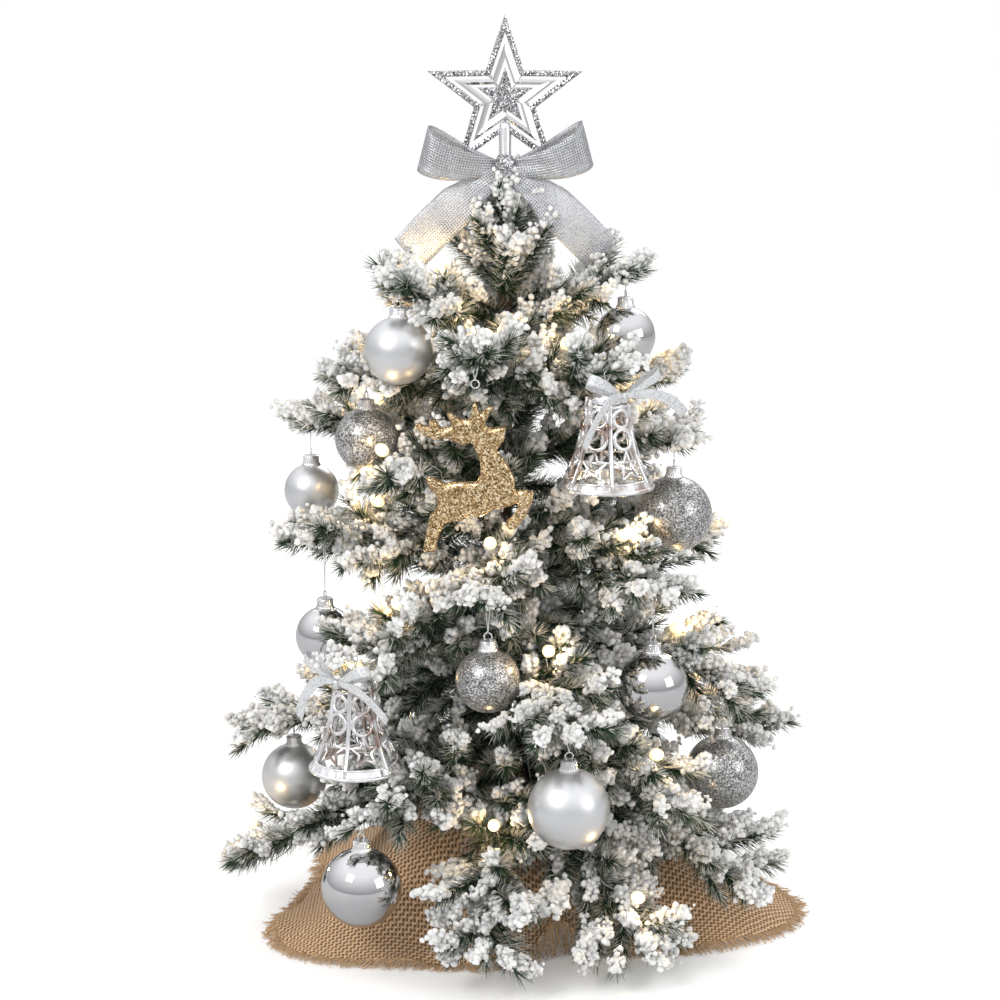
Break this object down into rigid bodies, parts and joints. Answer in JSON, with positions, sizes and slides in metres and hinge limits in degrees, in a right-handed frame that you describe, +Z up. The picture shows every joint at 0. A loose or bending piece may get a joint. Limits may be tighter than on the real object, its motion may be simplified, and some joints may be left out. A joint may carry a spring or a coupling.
{
  "type": "artificial tabletop tree",
  "caption": "Tabletop artificial tree with flocked hinged branches, hanging ornaments, a star topper, string lights and a burlap skirt over a weighted base.",
  "frame": {"origin": "centre of the weighted base's underside, on the table", "axes": "+Z up the trunk, -Y towards the front, +X to the right seen from the front"},
  "size_m": [0.3886, 0.3771, 0.61],
  "materials": {
    "flocked_foliage": "green needles under white flock",
    "plaster": "cast, matte",
    "stained_dowel": "dark stain, satin",
    "burlap": "coarse plain weave",
    "twine": "twisted",
    "green_collar": "moulded, matte",
    "silver_star": "mirror plated with glitter",
    "silver_ribbon": "sheer metallic mesh",
    "silver_wire": "clear sleeve on fine wire",
    "warm_led": "clear dome",
    "white_case": "moulded, fine texture",
    "cell_can": "satin label",
    "contact_steel": "nickel plated",
    "grey_switch": "ribbed",
    "pearl_ball": "matte silver pearl",
    "mirror_ball": "chrome plated",
    "glitter_ball": "coarse silver glitter",
    "silver_bell": "plated openwork",
    "gold_glitter": "gold glitter"
  },
  "bodies": {
    "tree": {"base_weight": "plaster", "trunk_pole": "stained_dowel", "burlap_skirt": "burlap", "tie_cord": "twine", "tier_collars": "green_collar", "leader_sprig": "flocked_foliage", "light_cable": "silver_wire", "led_bulbs": "warm_led", "battery_case": "white_case", "battery_cells": "cell_can", "battery_contacts": "contact_steel"},
    "topper": {"star_topper": "silver_star", "ribbon_bow": "silver_ribbon"},
    "cover": {"battery_cover": "white_case"},
    "switch": {"switch_slider": "grey_switch"},
    "bough_a1": {"branch_a1": "flocked_foliage"},
    "bough_a2": {"branch_a2": "flocked_foliage"},
    "bough_a3": {"branch_a3": "flocked_foliage"},
    "bough_a4": {"branch_a4": "flocked_foliage"},
    "bough_a5": {"branch_a5": "flocked_foliage"},
    "bough_a6": {"branch_a6": "flocked_foliage"},
    "bough_a7": {"branch_a7": "flocked_foliage"},
    "bough_b1": {"branch_b1": "flocked_foliage"},
    "bough_b2": {"branch_b2": "flocked_foliage"},
    "bough_b3": {"branch_b3": "flocked_foliage"},
    "bough_b4": {"branch_b4": "flocked_foliage"},
    "bough_c1": {"branch_c1": "flocked_foliage"},
    "bough_c2": {"branch_c2": "flocked_foliage"},
    "bough_c3": {"branch_c3": "flocked_foliage"},
    "bough_c4": {"branch_c4": "flocked_foliage"},
    "bough_d1": {"branch_d1": "flocked_foliage"},
    "bough_d2": {"branch_d2": "flocked_foliage"},
    "bough_d3": {"branch_d3": "flocked_foliage"},
    "bough_d4": {"branch_d4": "flocked_foliage"},
    "bough_e1": {"branch_e1": "flocked_foliage"},
    "bough_e2": {"branch_e2": "flocked_foliage"},
    "bough_e3": {"branch_e3": "flocked_foliage"},
    "bough_e4": {"branch_e4": "flocked_foliage"},
    "bough_f1": {"branch_f1": "flocked_foliage"},
    "bough_f2": {"branch_f2": "flocked_foliage"},
    "bough_f3": {"branch_f3": "flocked_foliage"},
    "bough_f4": {"branch_f4": "flocked_foliage"},
    "bough_g1": {"branch_g1": "flocked_foliage"},
    "bough_g2": {"branch_g2": "flocked_foliage"},
    "bough_g3": {"branch_g3": "flocked_foliage"},
    "hung_matte_ball_1": {"matte_ball_1": "pearl_ball"},
    "hung_matte_ball_2": {"matte_ball_2": "pearl_ball"},
    "hung_matte_ball_3": {"matte_ball_3": "pearl_ball"},
    "hung_matte_ball_4": {"matte_ball_4": "pearl_ball"},
    "hung_chrome_ball_1": {"chrome_ball_1": "mirror_ball"},
    "hung_chrome_ball_2": {"chrome_ball_2": "mirror_ball"},
    "hung_chrome_ball_3": {"chrome_ball_3": "mirror_ball"},
    "hung_chrome_ball_4": {"chrome_ball_4": "mirror_ball"},
    "hung_glitter_ball_1": {"glitter_ball_1": "glitter_ball"},
    "hung_glitter_ball_2": {"glitter_ball_2": "glitter_ball"},
    "hung_glitter_ball_3": {"glitter_ball_3": "glitter_ball"},
    "hung_glitter_ball_4": {"glitter_ball_4": "glitter_ball"},
    "hung_bell_1": {"bell_1": "silver_bell"},
    "hung_bell_2": {"bell_2": "silver_bell"},
    "hung_reindeer": {"reindeer": "gold_glitter"}
  },
  "joints": [
    {"name": "topper_lift", "type": "slide", "parent": "tree", "child": "topper", "axis": [0, 0, 1], "range_m": [0, 0.03], "deforming": ["light_cable", "led_bulbs"]},
    {"name": "cover_slide", "type": "slide", "parent": "tree", "child": "cover", "axis": [1, 0, 0], "range_m": [0, 0.058]},
    {"name": "switch_slide", "type": "slide", "parent": "tree", "child": "switch", "axis": [1, 0, 0], "range_m": [0, 0.005]},
    {"name": "bend_a1", "type": "hinge", "parent": "tree", "child": "bough_a1", "pos_m": [-0.01019, -0.00292, 0.118], "axis": [-0.2756, 0.9613, 0], "range_deg": [-8, 8]},
    {"name": "bend_a2", "type": "hinge", "parent": "tree", "child": "bough_a2", "pos_m": [-0.00623, -0.00858, 0.118], "axis": [-0.809, 0.5878, 0], "range_deg": [-3.5, 6]},
    {"name": "bend_a3", "type": "hinge", "parent": "tree", "child": "bough_a3", "pos_m": [-0.00074, -0.01057, 0.118], "axis": [-0.9976, 0.0698, 0], "range_deg": [-5, 8]},
    {"name": "bend_a4", "type": "hinge", "parent": "tree", "child": "bough_a4", "pos_m": [0.0053, -0.00918, 0.118], "axis": [-0.866, -0.5, 0], "range_deg": [-6, 8]},
    {"name": "bend_a5", "type": "hinge", "parent": "tree", "child": "bough_a5", "pos_m": [0.00953, -0.00465, 0.118], "axis": [-0.4384, -0.8988, 0], "range_deg": [-8, 8]},
    {"name": "bend_a6", "type": "hinge", "parent": "tree", "child": "bough_a6", "pos_m": [0.00835, 0.00653, 0.118], "axis": [0.6157, -0.788, 0], "range_deg": [-8, 8]},
    {"name": "bend_a7", "type": "hinge", "parent": "tree", "child": "bough_a7", "pos_m": [-0.00363, 0.00996, 0.118], "axis": [0.9397, 0.342, 0], "range_deg": [-8, 8]},
    {"name": "bend_b1", "type": "hinge", "parent": "tree", "child": "bough_b1", "pos_m": [-0.01059, -0.00037, 0.168], "axis": [-0.0349, 0.9994, 0], "range_deg": [-8, 8]},
    {"name": "bend_b2", "type": "hinge", "parent": "tree", "child": "bough_b2", "pos_m": [0.00709, -0.00788, 0.168], "axis": [-0.7431, -0.6691, 0], "range_deg": [-8, 8]},
    {"name": "bend_b3", "type": "hinge", "parent": "tree", "child": "bough_b3", "pos_m": [0.01044, 0.00184, 0.168], "axis": [0.1736, -0.9848, 0], "range_deg": [-8, 8]},
    {"name": "bend_b4", "type": "hinge", "parent": "tree", "child": "bough_b4", "pos_m": [-0.0053, 0.00918, 0.168], "axis": [0.866, 0.5, 0], "range_deg": [-8, 8]},
    {"name": "bend_c1", "type": "hinge", "parent": "tree", "child": "bough_c1", "pos_m": [-0.00709, -0.00788, 0.218], "axis": [-0.7431, 0.6691, 0], "range_deg": [-6, 8]},
    {"name": "bend_c2", "type": "hinge", "parent": "tree", "child": "bough_c2", "pos_m": [0.00274, -0.01024, 0.218], "axis": [-0.9659, -0.2588, 0], "range_deg": [-6, 8]},
    {"name": "bend_c3", "type": "hinge", "parent": "tree", "child": "bough_c3", "pos_m": [0.01029, -0.00256, 0.218], "axis": [-0.2419, -0.9703, 0], "range_deg": [-8, 8]},
    {"name": "bend_c4", "type": "hinge", "parent": "tree", "child": "bough_c4", "pos_m": [0.00184, 0.01044, 0.218], "axis": [0.9848, -0.1736, 0], "range_deg": [-8, 8]},
    {"name": "bend_d1", "type": "hinge", "parent": "tree", "child": "bough_d1", "pos_m": [-0.00983, -0.00397, 0.268], "axis": [-0.3746, 0.9272, 0], "range_deg": [-8, 8]},
    {"name": "bend_d2", "type": "hinge", "parent": "tree", "child": "bough_d2", "pos_m": [-0.00111, -0.01054, 0.268], "axis": [-0.9945, 0.1045, 0], "range_deg": [-8, 8]},
    {"name": "bend_d3", "type": "hinge", "parent": "tree", "child": "bough_d3", "pos_m": [0.00835, -0.00653, 0.268], "axis": [-0.6157, -0.788, 0], "range_deg": [-8, 8]},
    {"name": "bend_d4", "type": "hinge", "parent": "tree", "child": "bough_d4", "pos_m": [0.01008, 0.00328, 0.268], "axis": [0.309, -0.9511, 0], "range_deg": [-8, 8]},
    {"name": "bend_e1", "type": "hinge", "parent": "tree", "child": "bough_e1", "pos_m": [-0.01059, -0.00037, 0.318], "axis": [-0.0349, 0.9994, 0], "range_deg": [-8, 8]},
    {"name": "bend_e2", "type": "hinge", "parent": "tree", "child": "bough_e2", "pos_m": [-0.00723, -0.00775, 0.318], "axis": [-0.7314, 0.682, 0], "range_deg": [-8, 8]},
    {"name": "bend_e3", "type": "hinge", "parent": "tree", "child": "bough_e3", "pos_m": [0.01029, -0.00256, 0.318], "axis": [-0.2419, -0.9703, 0], "range_deg": [-8, 8]},
    {"name": "bend_e4", "type": "hinge", "parent": "tree", "child": "bough_e4", "pos_m": [-0.00608, 0.00868, 0.318], "axis": [0.8192, 0.5736, 0], "range_deg": [-8, 8]},
    {"name": "bend_f1", "type": "hinge", "parent": "tree", "child": "bough_f1", "pos_m": [-0.00953, -0.00465, 0.366], "axis": [-0.4384, 0.8988, 0], "range_deg": [-8, 8]},
    {"name": "bend_f2", "type": "hinge", "parent": "tree", "child": "bough_f2", "pos_m": [-0.00184, -0.01044, 0.366], "axis": [-0.9848, 0.1736, 0], "range_deg": [-8, 8]},
    {"name": "bend_f3", "type": "hinge", "parent": "tree", "child": "bough_f3", "pos_m": [0.00623, -0.00858, 0.366], "axis": [-0.809, -0.5878, 0], "range_deg": [-8, 8]},
    {"name": "bend_f4", "type": "hinge", "parent": "tree", "child": "bough_f4", "pos_m": [0.00983, 0.00397, 0.366], "axis": [0.3746, -0.9272, 0], "range_deg": [-8, 8]},
    {"name": "bend_g1", "type": "hinge", "parent": "tree", "child": "bough_g1", "pos_m": [-0.00749, -0.00749, 0.41], "axis": [-0.7071, 0.7071, 0], "range_deg": [-8, 8]},
    {"name": "bend_g2", "type": "hinge", "parent": "tree", "child": "bough_g2", "pos_m": [0.01029, -0.00256, 0.41], "axis": [-0.2419, -0.9703, 0], "range_deg": [-8, 8]},
    {"name": "bend_g3", "type": "hinge", "parent": "tree", "child": "bough_g3", "pos_m": [0, 0.0106, 0.41], "axis": [1, 0, 0], "range_deg": [-8, 8]},
    {"name": "swing_matte_ball_1", "type": "hinge", "parent": "bough_g1", "child": "hung_matte_ball_1", "pos_m": [-0.06859, -0.06859, 0.43805], "axis": [-0.6725, -0.6725, 0.3088], "range_deg": [-15, 15]},
    {"name": "swing_matte_ball_2", "type": "hinge", "parent": "bough_e1", "child": "hung_matte_ball_2", "pos_m": [-0.13092, -0.00457, 0.34068], "axis": [-0.9821, -0.0343, 0.1851], "range_deg": [-15, 15]},
    {"name": "swing_matte_ball_3", "type": "hinge", "parent": "bough_b1", "child": "hung_matte_ball_3", "pos_m": [-0.14591, -0.00509, 0.13403], "axis": [-0.9693, -0.0338, -0.2434], "range_deg": [-15, 15]},
    {"name": "swing_matte_ball_4", "type": "hinge", "parent": "bough_c2", "child": "hung_matte_ball_4", "pos_m": [0.04012, -0.14972, 0.16905], "axis": [0.2451, -0.9148, -0.321], "range_deg": [-15, 15]},
    {"name": "swing_chrome_ball_1", "type": "hinge", "parent": "bough_g2", "child": "hung_chrome_ball_1", "pos_m": [0.07956, -0.01984, 0.44057], "axis": [0.892, -0.2224, 0.3936], "range_deg": [-15, 15]},
    {"name": "swing_chrome_ball_2", "type": "hinge", "parent": "bough_d1", "child": "hung_chrome_ball_2", "pos_m": [-0.11961, -0.04832, 0.27135], "axis": [-0.9268, -0.3745, 0.0283], "range_deg": [-15, 12]},
    {"name": "swing_chrome_ball_3", "type": "hinge", "parent": "bough_d3", "child": "hung_chrome_ball_3", "pos_m": [0.09692, -0.07573, 0.24808], "axis": [0.7759, -0.6062, -0.1745], "range_deg": [-15, 15]},
    {"name": "swing_chrome_ball_4", "type": "hinge", "parent": "bough_a2", "child": "hung_chrome_ball_4", "pos_m": [-0.09287, -0.12782, 0.10065], "axis": [-0.5838, -0.8035, -0.1169], "range_deg": [-15, 15]},
    {"name": "swing_glitter_ball_1", "type": "hinge", "parent": "bough_f1", "child": "hung_glitter_ball_1", "pos_m": [-0.09078, -0.04428, 0.37697], "axis": [-0.8923, -0.4352, 0.1204], "range_deg": [-15, 15]},
    {"name": "swing_glitter_ball_2", "type": "hinge", "parent": "bough_e3", "child": "hung_glitter_ball_2", "pos_m": [0.11255, -0.02806, 0.33416], "axis": [0.9591, -0.2391, 0.1516], "range_deg": [-15, 15]},
    {"name": "swing_glitter_ball_3", "type": "hinge", "parent": "bough_d2", "child": "hung_glitter_ball_3", "pos_m": [-0.01108, -0.10542, 0.25202], "axis": [-0.1031, -0.9809, -0.1652], "range_deg": [-15, 8]},
    {"name": "swing_glitter_ball_4", "type": "hinge", "parent": "bough_c3", "child": "hung_glitter_ball_4", "pos_m": [0.14749, -0.03677, 0.16954], "axis": [0.9179, -0.2289, -0.3242], "range_deg": [-15, 15]},
    {"name": "swing_bell_1", "type": "hinge", "parent": "bough_f3", "child": "hung_bell_1", "pos_m": [0.06466, -0.08899, 0.38742], "axis": [0.5746, -0.7909, 0.2106], "range_deg": [-15, 15]},
    {"name": "swing_bell_2", "type": "hinge", "parent": "bough_c1", "child": "hung_bell_2", "pos_m": [-0.09635, -0.10701, 0.20714], "axis": [-0.6669, -0.7407, -0.0811], "range_deg": [-15, 15]},
    {"name": "swing_reindeer", "type": "hinge", "parent": "bough_f2", "child": "hung_reindeer", "pos_m": [-0.01893, -0.10734, 0.39774], "axis": [-0.1653, -0.9373, 0.307], "range_deg": [-15, 15]}
  ]
}
